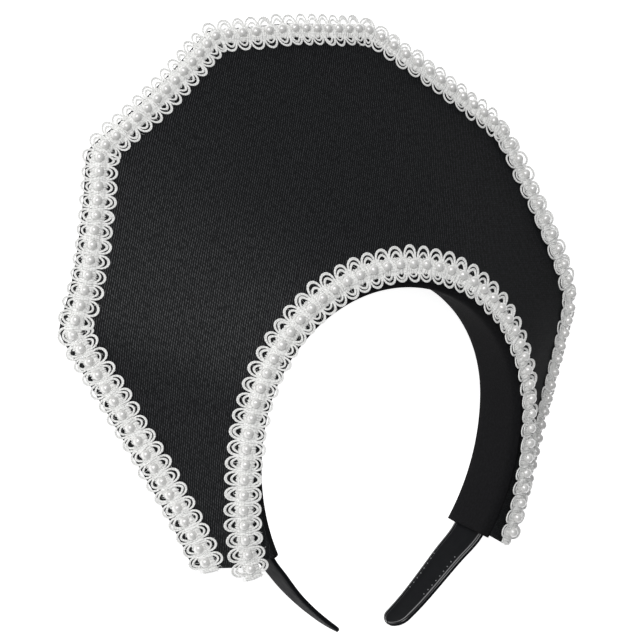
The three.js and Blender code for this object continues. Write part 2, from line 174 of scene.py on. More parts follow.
def locate(across, up):
    """The station and reach of a point seen from the front."""
    turn = math.atan2(across, up + CROWN_RADIUS)
    if turn < CROWN_SWEEP:
        return turn * CROWN_RADIUS, math.hypot(across, up + CROWN_RADIUS) - CROWN_RADIUS
    x, z = across - SIDE_CENTRE[0], up - SIDE_CENTRE[1]
    return (math.atan2(x, z) - CROWN_SWEEP) * SIDE_RADIUS + CROWN_LENGTH, math.hypot(x, z) - SIDE_RADIUS


def lying(points):
    """Worn points in millimetres as the lying headpiece has them, in metres."""
    return (turned(points) + np.array(LIE_MOVE)) * MM


def turned(directions):
    """Worn directions as the lying headpiece has them."""
    p = np.asarray(directions, float)
    c, s = math.cos(LIE_BACK), math.sin(LIE_BACK)
    return np.stack([p[..., 0], p[..., 1] * c - p[..., 2] * s, p[..., 1] * s + p[..., 2] * c], axis=-1)


def unit(v):
    return v / np.linalg.norm(v)


def arch_row(s):
    return along(FAN_STATIONS, "arch_row", s)


def fan_slope(s):
    return math.radians(along(FAN_STATIONS, "slope", s))


def pearl_depth(s, out):
    """How far back pearls sit at a place on the fan."""
    return (out - arch_row(s)) * math.tan(fan_slope(s))


def fold_at(s):
    """The fan's face in section: its start, the fold under the arch row, and the slopes on either side."""
    slope = fan_slope(s)
    start = np.array([PANEL_START, ROLL_FRONT + 0.1])
    inner = slope
    # The fold and the slope before it depend on each other, and settle in a few rounds
    for _ in range(8):
        lean = (inner + slope) / 2
        fold = np.array([arch_row(s) - PEARL_LIFT * math.sin(lean), PEARL_LIFT * math.cos(lean)])
        inner = math.atan2(fold[1] - start[1], fold[0] - start[0])
    return start, fold, inner, slope


def rim_corners(corners):
    """Corners moved out from their sides to the rim, with mitred joins."""
    points = [np.array([c["across"], c["up"]]) for c in corners]
    lines = []
    for a, b, corner in zip(points, points[1:], corners[1:]):
        run = unit(b - a)
        out = np.array([-run[1], run[0]])
        lines.append((out, float(out @ a) + corner["rim"]))
    moved = []
    for i, corner in enumerate(corners):
        a, b = lines[max(i - 1, 0)], lines[min(i, len(lines) - 1)]
        if a is b:
            p = points[i] + a[0] * corner["rim"]
            p[0] = 0.0 if i == 0 else p[0]
        else:
            p = np.linalg.solve(np.array([a[0], b[0]]), np.array([a[1], b[1]]))
        moved.append(dict(corner, across=p[0], up=p[1]))
    return moved


def outline(corners, steps):
    """The outline through corners as points seen from the front, each side with its bow."""
    points = []
    for i, (a, b) in enumerate(zip(corners, corners[1:])):
        start = np.array([a["across"], a["up"]])
        run = np.array([b["across"], b["up"]]) - start
        out = unit(np.array([-run[1], run[0]]))
        for k in range(0 if i == 0 else 1, steps + 1):
            t = k / steps
            points.append(start + run * t + out * 4 * t * (1 - t) * b["bow"])
    return points


class PearlRow:
    """A row of pearls: a path measured from its middle."""

    def __init__(self, points):
        self.points = np.array(points)
        steps = np.linalg.norm(np.diff(self.points, axis=0), axis=1)
        self.lengths = np.concatenate([[0.0], np.cumsum(steps)])
        self.middle = self.lengths[(len(points) - 1) // 2]

    def on_path(self, distance):
        target = self.middle + distance
        i = int(np.clip(np.searchsorted(self.lengths, target), 1, len(self.lengths) - 1))
        t = (target - self.lengths[i - 1]) / (self.lengths[i] - self.lengths[i - 1])
        return self.points[i - 1] * (1 - t) + self.points[i] * t

    def heading(self, distance):
        reach = ARCH_PITCH / 2
        return unit(self.on_path(distance + reach) - self.on_path(distance - reach))


def rounded(row):
    """The row as it runs a little inside sharp corners, as a stitched braid does."""
    reach = ARCH_PITCH / 2
    steps = round(row.middle)
    points = []
    for i in range(2 * steps + 1):
        distance = (reach - row.middle) + (row.middle - reach) * i / steps
        points.append(
            (2 * row.on_path(distance) + row.on_path(distance - reach) + row.on_path(distance + reach)) / 4
        )
    return PearlRow(points)


def mirrored(half):
    other = [p * np.array([-1, 1, 1]) for p in half[:0:-1]]
    return rounded(PearlRow(other + half))


def outer_row():
    side = outline(ROW_CORNERS, OUTLINE_STEPS)
    onwards = unit(side[-1] - side[-2]) * OUTER_PITCH / 2
    flat = side + [side[-1] + onwards * (i + 1) for i in range(RUN_ON_STEPS)]
    half = []
    for p in flat:
        at, out = locate(p[0], p[1])
        half.append(np.array([p[0], pearl_depth(at, out), p[1]]))
    return mirrored(half)


def inner_row():
    return mirrored([place(float(s), arch_row(s), 0.0) for s in range(ARCH_ROW_END + 1)])


def outer_spacing(row):
    """The outer row's distance from its middle to a pearl, spaced evenly from corner to corner."""
    last = (OUTER_PEARLS - 1) / 2
    reach = [0.0]
    for corner in ROW_CORNERS[1:4]:
        gaps = np.hypot(row.points[:, 0] - corner["across"], row.points[:, 2] - corner["up"])
        reach.append(row.lengths[int(gaps.argmin())] - row.middle)
    reach.append(last * OUTER_PITCH)

    def distance(step):
        hand = "right" if step < 0 else "left"
        pearls = [0.0] + [mark[hand] for mark in PEARLS_TO_CORNER] + [last]
        b = next((i for i in range(1, 5) if pearls[i] >= abs(step)), 4)
        a = b - 1
        t = (abs(step) - pearls[a]) / (pearls[b] - pearls[a])
        return math.copysign(reach[a] + (reach[b] - reach[a]) * t, step)

    return distance


class Lie:
    """Where braid lies at a place on its row: its foot on the fan, and the ways along, across and off it."""

    def __init__(self, row, distance, slope_at):
        pearl = row.on_path(distance)
        self.heading = row.heading(distance)
        at, _ = locate(abs(pearl[0]), pearl[2])
        s = at * math.copysign(1.0, pearl[0])
        outwards = place(s, 1.0, 0.0) - place(s, 0.0, 0.0)
        down = outwards * math.cos(slope_at(s)) + np.array([0.0, math.sin(slope_at(s)), 0.0])
        self.edge = unit(down - self.heading * float(down @ self.heading))
        up = unit(np.cross(self.edge, self.heading))
        self.up = -up if up[1] > 0 else up
        self.foot = pearl - self.up * PEARL_LIFT

    def at(self, across, height):
        """A point across the braid, positive outwards, at a height off the fan."""
        return self.foot + self.edge * across + self.up * height


# Meshes

UV_PER_MM = 0.01


def add_object(name, mesh):
    obj = bpy.data.objects.new(name, mesh)
    bpy.context.scene.collection.objects.link(obj)
    return obj


def surface(name, points, faces, material, grain=None):
    """A mesh piece from worn points, with its cloth grain in millimetres as a UV map."""
    mesh = bpy.data.meshes.new(name)
    mesh.from_pydata([tuple(p) for p in lying(points)], [], faces)
    mesh.polygons.foreach_set("use_smooth", [True] * len(mesh.polygons))
    if grain is not None:
        layer = mesh.uv_layers.new(name="grain")
        corners = np.empty(len(mesh.loops), dtype=np.int32)
        mesh.loops.foreach_get("vertex_index", corners)
        layer.data.foreach_set("uv", (np.asarray(grain)[corners] * UV_PER_MM).ravel())
    mesh.materials.append(material)
    mesh.update()
    return add_object(name, mesh)


def ring_faces(rings, size, capped=True):
    """Faces that join rings of points one after another, with a cap at each end."""
    faces = []
    for i in range(rings - 1):
        for k in range(size):
            a, b = i * size + k, i * size + (k + 1) % size
            faces.append((a, b, b + size, a + size))
    if capped:
        last = (rings - 1) * size
        faces += [tuple(range(size))[::-1], tuple(range(last, last + size))]
    return faces


def face_out(obj):
    """Merges doubles and turns all faces the same way, which is outwards on a closed mesh."""
    bm = bmesh.new()
    bm.from_mesh(obj.data)
    bmesh.ops.remove_doubles(bm, verts=bm.verts, dist=1e-7)
    bmesh.ops.recalc_face_normals(bm, faces=bm.faces)
    bm.to_mesh(obj.data)
    bm.free()
    return obj


def settle(obj):
    """Makes an object's modifiers part of its mesh."""
    graph = bpy.context.evaluated_depsgraph_get()
    made = bpy.data.meshes.new_from_object(
        obj.evaluated_get(graph), preserve_all_data_layers=True, depsgraph=graph
    )
    obj.modifiers.clear()
    made.name = obj.name
    obj.data = made
    return obj


def seats(name, points, **directions):
    """A mesh of loose points with a direction or a number at each, for node trees to build on."""
    mesh = bpy.data.meshes.new(name)
    mesh.from_pydata([tuple(p) for p in lying(points)], [], [])
    for label, values in directions.items():
        values = np.asarray(values, float)
        if values.ndim == 2:
            data = mesh.attributes.new(label, "FLOAT_VECTOR", "POINT")
            data.data.foreach_set("vector", turned(values).ravel())
        else:
            mesh.attributes.new(label, "FLOAT", "POINT").data.foreach_set("value", values)
    return mesh


class Nodes:
    """What node trees for geometry and for materials have in common: nodes that are added and joined."""

    def __init__(self, tree):
        self.tree = tree

    def add(self, kind, *links, settings=None, **inputs):
        """A node with links to its first sockets, its settings, and values or links by socket name."""
        item = self.tree.nodes.new(kind)
        for key, value in (settings or {}).items():
            setattr(item, key, value)
        for i, source in enumerate(links):
            self.join(source, item.inputs[i])
        for key, value in inputs.items():
            self.join(value, self.socket(item, key.replace("_", " ")))
        return item

    @staticmethod
    def socket(item, name):
        return next(s for s in item.inputs if s.name == name and s.enabled)

    def join(self, source, target):
        """Links a node or a socket to a socket, or sets that socket to a value."""
        if source is None:
            return
        if hasattr(source, "outputs"):
            source = next(s for s in source.outputs if s.enabled)
        if isinstance(source, bpy.types.NodeSocket):
            self.tree.links.new(source, target)
        else:
            target.default_value = source

    def math(self, operation, a, b=None):
        return self.add("ShaderNodeMath", a, b, settings={"operation": operation})

    def plus(self, a, b):
        return self.math("ADD", a, b)

    def times(self, a, b):
        return self.math("MULTIPLY", a, b)


class Tree(Nodes):
    """A node tree for geometry, built up node by node."""

    def __init__(self, name):
        super().__init__(bpy.data.node_groups.new(name, "GeometryNodeTree"))
        for way in ("INPUT", "OUTPUT"):
            self.tree.interface.new_socket("Geometry", in_out=way, socket_type="NodeSocketGeometry")
        self.start = self.tree.nodes.new("NodeGroupInput")
        self.values = {}

    def size(self, name, value, kind="NodeSocketFloat"):
        """A named input of the tree."""
        socket = self.tree.interface.new_socket(name, in_out="INPUT", socket_type=kind)
        self.values[socket.identifier] = value
        return self.start.outputs[name]

    def combine(self, x=0.0, y=0.0, z=0.0):
        return self.add("ShaderNodeCombineXYZ", x, y, z)

    def field(self, name, kind="FLOAT_VECTOR"):
        return self.add("GeometryNodeInputNamedAttribute", name, settings={"data_type": kind})

    def chance(self, low, high, seed):
        item = self.add("FunctionNodeRandomValue", settings={"data_type": "FLOAT"})
        self.join(low, item.inputs[2])
        self.join(high, item.inputs[3])
        self.join(seed, self.socket(item, "Seed"))
        return item.outputs[1]

    def facing(self):
        """The turn that sets an instance along its row, with its height off the fan."""
        return self.add(
            "FunctionNodeAxesToRotation", self.field("along_row"), self.field("off_fan"),
            settings={"primary_axis": "X", "secondary_axis": "Z"},
        )

    def tilt(self, turn, axis, angle):
        own = self.add("FunctionNodeAxisAngleToRotation", Axis=axis, Angle=angle)
        return self.add("FunctionNodeRotateRotation", turn, own, settings={"rotation_space": "LOCAL"})

    def bow(self, resolution, start, start_handle, end_handle, end):
        """A curve between two ends, bent by its two handles."""
        return self.add(
            "GeometryNodeCurvePrimitiveBezierSegment", settings={"mode": "POSITION"}, Resolution=resolution,
            Start=start, Start_Handle=start_handle, End_Handle=end_handle, End=end,
        )

    def tube(self, path, radius, sides):
        """A round tube along a curve, with the length along it kept for its twist."""
        run = self.add("GeometryNodeSplineParameter").outputs["Length"]
        kept = self.add(
            "GeometryNodeStoreNamedAttribute", path, Name="cord_run",
            settings={"data_type": "FLOAT", "domain": "POINT"}, Value=run,
        )
        circle = self.add("GeometryNodeCurvePrimitiveCircle", settings={"mode": "RADIUS"}, Resolution=sides)
        self.join(radius, self.socket(circle, "Radius"))
        return self.add("GeometryNodeCurveToMesh", kept, circle, Fill_Caps=True)

    def on_seats(self, body, turn, size=None):
        """The body on every seat, turned and scaled."""
        return self.add(
            "GeometryNodeInstanceOnPoints", Points=self.start.outputs[0], Instance=body,
            Rotation=turn, Scale=size,
        )

    def finish(self, geometry, material):
        """Ends the tree: instances made real, smooth, in one material."""
        self.material = material
        real = self.add("GeometryNodeRealizeInstances", geometry)
        smooth = self.add("GeometryNodeSetShadeSmooth", real)
        painted = self.add("GeometryNodeSetMaterial", smooth, Material=material)
        end = self.tree.nodes.new("NodeGroupOutput")
        self.join(painted, end.inputs[0])

    def grow(self, name, mesh):
        """The piece that the tree makes on a mesh of seats, as a plain mesh."""
        obj = add_object(name, mesh)
        modifier = obj.modifiers.new("Grow", "NODES")
        modifier.node_group = self.tree
        for identifier, value in self.values.items():
            modifier[identifier] = value
        settle(obj)
        bpy.data.meshes.remove(mesh)
        obj.data.materials.clear()
        obj.data.materials.append(self.material)
        obj.data.polygons.foreach_set("material_index", [0] * len(obj.data.polygons))
        return obj


# Finishes

# Distances between the cross threads of the twill and the threads of the cover, in millimetres
PICK_SPACING = 1.3
WEAVE_SPACING = 0.5
# The turn of a strand's twist along it, in radians to the metre
CORD_TWIST = 6200.0


class Finish(Nodes):
    """A material built up node by node."""

    def __init__(self, name, colour, roughness, **sockets):
        self.material = bpy.data.materials.new(name)
        self.material.use_nodes = True
        super().__init__(self.material.node_tree)
        self.shader = self.tree.nodes["Principled BSDF"]
        self.shader.inputs["Base Color"].default_value = (*colour, 1.0)
        self.shader.inputs["Roughness"].default_value = roughness
        for key, value in sockets.items():
            self.shader.inputs[key.replace("_", " ")].default_value = value

    def on_object(self):
        coordinates = self.add("ShaderNodeTexCoord")
        return self.add("ShaderNodeMapping", coordinates.outputs["Object"])

    def on_cloth(self, turn=0.0):
        """The cloth's own grain in millimetres, turned."""
        grain = self.add("ShaderNodeUVMap", settings={"uv_map": "grain"})
        return self.add("ShaderNodeMapping", grain, Scale=(1 / UV_PER_MM,) * 3, Rotation=(0.0, 0.0, turn))

    def attribute(self, name):
        return self.add("ShaderNodeAttribute", settings={"attribute_name": name}).outputs["Fac"]

    def noise(self, where, scale, detail=2.0, roughness=0.5):
        return self.add(
            "ShaderNodeTexNoise", where, Scale=scale, Detail=detail, Roughness=roughness
        ).outputs["Fac"]

    def between(self, value, low, high, to_low=0.0, to_high=1.0):
        return self.add(
            "ShaderNodeMapRange", value, From_Min=low, From_Max=high, To_Min=to_low, To_Max=to_high
        )

    def colours(self, value, low, high):
        return self.add(
            "ShaderNodeMix", Factor=value, A=(*low, 1.0), B=(*high, 1.0), settings={"data_type": "RGBA"}
        ).outputs[2]

    def paint(self, colour):
        self.join(colour, self.shader.inputs["Base Color"])
        return self

    def gloss(self, value):
        self.join(value, self.shader.inputs["Roughness"])
        return self

    def relief(self, height, depth, strength=1.0):
        bump = self.add("ShaderNodeBump", Height=height, Distance=depth, Strength=strength)
        self.join(bump, self.shader.inputs["Normal"])
        return self


def plastic_finish(colour):
    """Moulded plastic, dull with handling marks on its faces and polished along its rims."""
    made = Finish("moulded_plastic", colour, 0.5, IOR=1.4)
    where = made.on_object()
    cloudy = made.noise(where, 60.0, 3.0)
    made.paint(made.colours(cloudy, colour, [c * 1.5 for c in colour]))
    polish = made.attribute("polish")
    made.join(made.between(polish, 0.0, 1.0, 0.03, 1.0), made.shader.inputs["Specular IOR Level"])
    dull = made.between(made.noise(where, 220.0, 4.0), 0.3, 0.7, 0.5, 0.62)
    made.gloss(made.math("SUBTRACT", dull, made.times(polish, 0.4)))
    fine = made.noise(where, 900.0, 2.0)
    return made.relief(fine, 0.00003, 0.25).material


def twill_finish(colour, spacing, turn):
    """Fine black twill: thin raised yarns, coloured lighter than their darker ground as painted sheen, that
    also shine where the cloth faces the light.
    """
    made = Finish("fan_twill", colour, 0.9, Specular_IOR_Level=0.05, Coat_Roughness=0.55, Coat_IOR=1.5)
    where = made.on_cloth(turn)
    sway = made.times(made.noise(where, 0.12, 2.0), 0.9)
    parts = made.add("ShaderNodeSeparateXYZ", where)
    across = made.plus(parts.outputs["X"], sway)
    wale = made.math("SINE", made.times(across, 2 * math.pi / spacing))
    slanting = made.plus(parts.outputs["Y"], made.times(across, 0.5))
    picks = made.math("SINE", made.times(slanting, 2 * math.pi / PICK_SPACING))
    yarn = made.plus(wale, made.times(picks, 0.3))
    slubs = made.noise(made.add("ShaderNodeMapping", where, Scale=(2.2, 0.6, 1.0)), 1.0, 2.0)
    lit = made.times(made.between(yarn, 0.1, 0.9), made.between(slubs, 0.36, 0.6, 0.15, 1.0))
    # The raised yarns are coloured up to 3.2 times lighter than the cloth: painted sheen on the yarns, on top
    # of their real gloss.
    made.paint(made.colours(lit, [c * 0.75 for c in colour], [c * 3.2 for c in colour]))
    glance = made.add("ShaderNodeLayerWeight", Blend=0.5).outputs["Facing"]
    shine = made.between(glance, 0.1, 0.65, 1.0, 0.0)
    bright = made.plus(made.times(lit, 0.82), 0.06)
    made.join(made.times(bright, shine), made.shader.inputs["Coat Weight"])
    return made.relief(made.plus(yarn, made.times(slubs, 0.8)), 0.00008, 0.4).material


def plain_cloth_finish(colour):
    """Plain black cover cloth, closely woven and nearly smooth."""
    made = Finish("cover_cloth", colour, 0.9, Specular_IOR_Level=0.05)
    where = made.on_cloth()
    parts = made.add("ShaderNodeSeparateXYZ", where)
    turns = 2 * math.pi / WEAVE_SPACING
    warp = made.math("SINE", made.times(parts.outputs["X"], turns))
    weft = made.math("SINE", made.times(parts.outputs["Y"], turns))
    weave = made.times(warp, weft)
    slubs = made.noise(where, 0.9, 3.0)
    made.paint(made.colours(made.between(slubs, 0.4, 0.75), colour, [c * 1.6 for c in colour]))
    return made.relief(made.plus(weave, made.times(slubs, 2.0)), 0.00006, 0.4).material


def cord_finish(name, colour):
    """White braid yarn: soft, with a little fluff, the lay of its twist in its bumps, and painted shade
    darkening it in bands along the twist.
    """
    made = Finish(name, colour, 0.62, Sheen_Weight=0.2, Sheen_Roughness=0.5, IOR=1.45)
    where = made.on_object()
    fluff = made.noise(where, 900.0, 3.0, 0.7)
    turned_by = made.times(made.attribute("cord_run"), CORD_TWIST)
    lay = made.math("SINE", made.plus(turned_by, made.times(fluff, 6.0)))
    # The lay of the twist darkens the cord in bands: painted shade in the grooves of the twist. The fluff
    # noise adds a random tone.
    shade = made.plus(made.times(lay, 0.18), fluff)
    made.paint(made.colours(made.between(shade, 0.2, 0.62), [c * 0.8 for c in colour], colour))
    return made.relief(made.plus(fluff, made.times(lay, 0.3)), 0.00025, 0.7).material


def pearl_finish(colour):
    """Imitation pearl: a smooth, faintly clouded skin with a clear gloss."""
    made = Finish(
        "pearl_bead", colour, 0.3, IOR=2.0, Coat_Weight=1.0, Coat_Roughness=0.15, Coat_IOR=1.6,
    )
    cloudy = made.noise(made.on_object(), 350.0, 2.0)
    made.paint(made.colours(cloudy, [c * 0.94 for c in colour], colour))
    return made.material


# Settings that a user would change

class HeadpieceCloth(bpy.types.PropertyGroup):
    fan_colour: bpy.props.FloatVectorProperty(
        name="Fan Colour", description="Ground colour of the fan's twill", subtype="COLOR", size=3,
        default=(0.0085, 0.009, 0.0098), min=0.0, max=1.0,
    )
    cover_colour: bpy.props.FloatVectorProperty(
        name="Cover Colour", description="Colour of the cloth sewn round the band", subtype="COLOR", size=3,
        default=(0.0065, 0.0065, 0.0072), min=0.0, max=1.0,
    )
    twill_spacing: bpy.props.FloatProperty(
        name="Twill Spacing", description="Distance between the raised yarns of the twill, in millimetres",
        default=0.86, min=0.2, max=3.0,
    )
    twill_turn: bpy.props.FloatProperty(
        name="Twill Turn", description="Turn of the twill on the unrolled fan", subtype="ANGLE",
        default=math.radians(30),
    )
    fold_depth: bpy.props.FloatProperty(
        name="Fold Depth", description="Depth of the soft folds in the fan's face", unit="LENGTH",
        default=0.00035, min=0.0, max=0.001,
    )


class HeadpieceBand(bpy.types.PropertyGroup):
    colour: bpy.props.FloatVectorProperty(
        name="Plastic Colour", description="Colour of the plastic headband", subtype="COLOR", size=3,
        default=(0.0048, 0.0052, 0.006), min=0.0, max=1.0,
    )
    rim_height: bpy.props.FloatProperty(
        name="Rim Height", description="Height of the raised rims inside the legs", unit="LENGTH",
        default=0.00035, min=0.0, max=0.001,
    )
    tooth_radius: bpy.props.FloatProperty(
        name="Tooth Radius", description="Radius of the small teeth inside the legs", unit="LENGTH",
        default=0.0003, min=0.0001, max=0.001,
    )


class HeadpieceBraid(bpy.types.PropertyGroup):
    pearl_radius: bpy.props.FloatProperty(
        name="Pearl Radius", description="Radius of one pearl bead", unit="LENGTH",
        default=0.0021, min=0.001, max=0.0025,
    )
    pearl_colour: bpy.props.FloatVectorProperty(
        name="Pearl Colour", description="Colour of the pearl beads", subtype="COLOR", size=3,
        default=(0.7, 0.695, 0.68), min=0.0, max=1.0,
    )
    cord_colour: bpy.props.FloatVectorProperty(
        name="Cord Colour", description="Colour of the white cord", subtype="COLOR", size=3,
        default=(0.9, 0.9, 0.885), min=0.0, max=1.0,
    )
    loop_length: bpy.props.FloatProperty(
        name="Loop Length", description="How far the loops stand out of the core", unit="LENGTH",
        default=0.0045, min=0.002, max=0.006,
    )
    loop_cord: bpy.props.FloatProperty(
        name="Loop Strand Radius", description="Radius of each strand in the loops", unit="LENGTH",
        default=0.00028, min=0.0001, max=0.001,
    )
    seed: bpy.props.IntProperty(name="Seed", description="Seed of the small unevenness by hand", default=7)


class HeadpieceStage(bpy.types.PropertyGroup):
    floor_colour: bpy.props.FloatVectorProperty(
        name="Floor Colour", description="Colour of the floor", subtype="COLOR", size=3,
        default=(0.93, 0.93, 0.93), min=0.0, max=1.0,
    )
    key_power: bpy.props.FloatProperty(
        name="Key Light", description="Power of the soft light", unit="POWER", default=59.0, min=0.0,
    )
    floor_glow: bpy.props.FloatProperty(
        name="Floor Glow", description="Light of the floor itself, which keeps it white",
        default=0.9, min=0.0,
    )
    sky_strength: bpy.props.FloatProperty(
        name="Sky Strength", description="Strength of the even light from all round", default=0.22, min=0.0,
    )


# The headband

# Half the width below which the band's section is squeezed towards its middle, at the tips
NARROW_HALF = 2.6
# The points of the band's section that lie on its raised rims and the edges beside them
POLISHED = (2, 3, 4, 5, 17, 18, 19, 20)
# Two rows of teeth inside each leg, from the cover down: where each starts and ends, and how deep the
# middles of the teeth lie below the tops of the rims
TEETH = (
    {"first": (149.8, 20.2), "last": (169.2, 17.4)},
    {"first": (149.8, 7.5), "last": (169.2, 7.3)},
)
TEETH_IN_ROW = 9
TOOTH_SINK = 0.3


def band_section(s, rim):
    """The band across its width: rounded edges, a flat outside, and raised rims on the inside."""
    front, back = along(BAND_EDGES, "front", s), along(BAND_EDGES, "back", s)
    middle = (front + back) / 2
    tip = min(max((abs(s) - BAND_TIP) / (BAND_END - BAND_TIP), 0.0), 1.0)
    half = (back - front) / 2 * math.sqrt(1 - tip * tip * TIP_ROUNDING)
    inner = BAND_INNER - along(LEGS, "inset", s)
    outer = inner + BAND_THICKNESS
    soft = 0.6
    side = [
        (inner + rim, half - 2.1),
        (inner + rim * 0.9, half - 1.7),
        (inner, half - 1.35),
        (inner, half - 0.75),
        (inner + 0.18, half - 0.25),
        (inner + 0.55, half),
        (outer - soft, half),
        (outer - soft * 0.3, half - 0.2),
        (outer, half - soft),
        (outer, half * 0.55),
    ]
    ring = [(inner + rim, 0.0)] + side + [(outer, 0.0)] + [(out, -w) for out, w in reversed(side)]
    squeeze = min(1.0, half / NARROW_HALF)
    return [(out, middle + w * squeeze) for out, w in ring]


def band_stations():
    """Stations along the band: wide apart under the cover, and closer together down the legs to the tips."""
    under = COVER_END - BAND_UNDER_COVER
    bare = np.linspace(under, BAND_TIP, 24)
    tip = BAND_TIP + (BAND_END - BAND_TIP) * np.array([0.3, 0.5, 0.65, 0.8, 0.9, 0.96, 1.0])
    covered = np.linspace(-under, under, 45)
    side = np.concatenate([bare, tip])
    return np.concatenate([-side[::-1], covered[1:-1], side])


def make_band(settings):
    rings = [[place(s, out, back) for out, back in band_section(s, settings.rim_height * 1000)]
             for s in band_stations()]
    size = len(rings[0])
    finish = plastic_finish(settings.colour)
    band = surface("plastic_band", np.concatenate(rings), ring_faces(len(rings), size), finish)
    polish = [1.0 if k % size in POLISHED else 0.0 for k in range(len(band.data.vertices))]
    band.data.attributes.new("polish", "FLOAT", "POINT").data.foreach_set("value", polish)
    face_out(band)
    band.data.set_sharp_from_angle(angle=math.radians(50))
    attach(band, "root")
    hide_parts("headband")
    make_teeth(settings)


def make_teeth(settings):
    """The teeth inside the legs, coloured far paler than the band as a painted highlight."""
    points, along_row, off_fan = [], [], []
    for side in (-1, 1):
        for row in TEETH:
            for i in range(TEETH_IN_ROW):
                t = i / (TEETH_IN_ROW - 1)
                s = side * (row["first"][0] * (1 - t) + row["last"][0] * t)
                back = row["first"][1] * (1 - t) + row["last"][1] * t
                inner = BAND_INNER - along(LEGS, "inset", s)
                spot = place(s, inner + TOOTH_SINK, back)
                points.append(spot)
                along_row.append(unit(place(s + 1, inner, back) - place(s - 1, inner, back)))
                off_fan.append(unit(place(s, inner - 1, back) - spot))
    tree = Tree("Band Teeth")
    radius = tree.size("Tooth Radius", settings.tooth_radius)
    tooth = tree.add("GeometryNodeMeshUVSphere", Segments=8, Rings=5, Radius=radius)
    # The teeth's pale grey colour is a painted highlight that stands in for the glints of the small teeth.
    finish = Finish("rubbed_teeth", (0.2, 0.205, 0.21), 0.25).material
    tree.finish(tree.on_seats(tooth, tree.facing()), finish)
    teeth = tree.grow("band_teeth", seats("teeth_seats", points, along_row=along_row, off_fan=off_fan))
    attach(teeth, "root")


# The cloth cover

COVER_SECTION = (
    {"out": 0.0, "back": 25.0},
    {"out": 0.0, "back": 18.0},
    {"out": 0.0, "back": 10.0},
    {"out": 0.0, "back": 4.0},
    {"out": 0.1, "back": 1.9},
    {"out": 0.5, "back": 0.5},
    {"out": 1.4, "back": -0.35},
    {"out": 2.5, "back": -0.6},
    {"out": 3.3, "back": -0.5},
    {"out": 3.75, "back": 0.3},
    {"out": 4.2, "back": 1.6},
    {"out": 4.7, "back": 3.6},
    {"out": 4.8, "back": 8.0},
    {"out": 4.8, "back": 16.0},
    {"out": 4.8, "back": 24.6},
    {"out": 4.3, "back": 25.5},
    {"out": 2.4, "back": 25.6},
    {"out": 0.5, "back": 25.5},
)
COVER_STATIONS = 93
# The small creases of the cover: their depth, and how long they are round the opening and round the sleeve
CREASE_DEPTH = 0.16
CREASE_ALONG = 9.0
CREASE_AROUND = 7.0


def make_cover(settings):
    stations = np.linspace(-COVER_END, COVER_END, COVER_STATIONS)
    girth = [0.0]
    ring = [(row["out"], row["back"]) for row in COVER_SECTION]
    for a, b in zip(ring, ring[1:]):
        girth.append(girth[-1] + math.dist(a, b))
    points, grain = [], []
    for s in stations:
        for (out, back), run in zip(ring, girth):
            crease = CREASE_DEPTH * noise.noise(Vector((s / CREASE_ALONG, run / CREASE_AROUND, 3.0)))
            points.append(place(s, out + crease * (0.5 if out < 1 else 1.0), back))
            grain.append((s, run))
    faces = ring_faces(len(stations), len(ring), capped=False)
    finish = plain_cloth_finish(settings.cover_colour)
    cover = face_out(surface("cloth_cover", np.array(points), faces, finish, grain))
    # The sleeve is open at its ends, so its middle tells whether its faces point away from the band
    middle = cover.data.polygons[len(faces) // 2]
    away = middle.center - Vector(lying(place(0.0, 2.4, 12.0)))
    if middle.normal.dot(away) < 0:
        cover.data.flip_normals()
    smooth = cover.modifiers.new("Round", "SUBSURF")
    smooth.levels = smooth.render_levels = 1
    wall = cover.modifiers.new("Wall", "SOLIDIFY")
    wall.thickness = 0.001
    wall.offset = -1.0
    settle(cover)
    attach(cover, "root")
    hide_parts("band_cover")


# The fan

def rim_table():
    """The fan's rim, a little rounded, as stations and reaches, and the stations of its corners."""
    corners = rim_corners(ROW_CORNERS)
    rim = np.array(outline(corners, OUTLINE_STEPS))
    for _ in range(2):
        rim[1:-1] = rim[1:-1] / 2 + (rim[:-2] + rim[2:]) / 4
    spots = [locate(p[0], p[1]) for p in rim]
    kept = [locate(c["across"], c["up"])[0] for c in corners[1:-1]]
    return np.array(spots), kept


# Points of the fan's section: on its face from fold to rim, and on its back
FACE_POINTS = 37
BACK_POINTS = 19
# The point of the section from which the face is measured, late in the fold, and the first one past the fold
FACE_START = 5
PAST_FOLD = 7
FOLD_EASE = 2.2
RIM_BULGE = 0.45
# The fan's even stations, the last of them short of its end, and how near a corner of the rim one is left out
EVEN_STATIONS = 68
LAST_EVEN = PANEL_END - 3
NEAR_CORNER = 0.8
# The soft folds in the fan's face, in two sizes: how long they are round the opening and out from it
SOFT_FOLDS = (
    {"along": 26.0, "outwards": 60.0, "layer": 0.7, "share": 1.0},
    {"along": 11.0, "outwards": 34.0, "layer": 4.2, "share": 0.5},
)


def fan_section(s, rim_out):
    """The fan from the band's roll over the fold to the rim, then back behind it."""
    start, fold, inner, slope = fold_at(s)
    rim = np.array([rim_out, fold[1] + (rim_out - fold[0]) * math.tan(slope)])
    lean = (inner + slope) / 2
    ease = min(FOLD_EASE, np.linalg.norm(fold - start) * 0.6)
    into = fold - unit(fold - start) * ease
    onto = fold + unit(rim - fold) * ease
    tucked = start - unit(fold - start) * PANEL_TUCK
    front = [tucked * (1 - t) + into * t for t in (0.0, 0.5, 1.0)]
    for t in (0.25, 0.5, 0.75, 1.0):
        front.append(into * (1 - t) ** 2 + fold * 2 * t * (1 - t) + onto * t * t)
    front += [onto * (1 - t) + rim * t for t in np.linspace(0, 1, FACE_POINTS)[1:]]

    def behind(p, angle, depth):
        return np.array([p[0] - depth * math.sin(angle), p[1] + depth * math.cos(angle)])

    edge = unit(rim - fold) * RIM_BULGE
    back_rim = behind(rim, slope, PANEL_THICKNESS)
    back_fold = behind(fold, lean, PANEL_THICKNESS)
    turn = [behind(rim, slope, PANEL_THICKNESS * share) + edge for share in (0.25, 0.75)]
    back = [back_rim * (1 - t) + back_fold * t for t in np.linspace(0, 1, BACK_POINTS)]
    return front, turn + back + [np.array([COVER_THICKNESS - PANEL_TUCK, PANEL_BACK])]


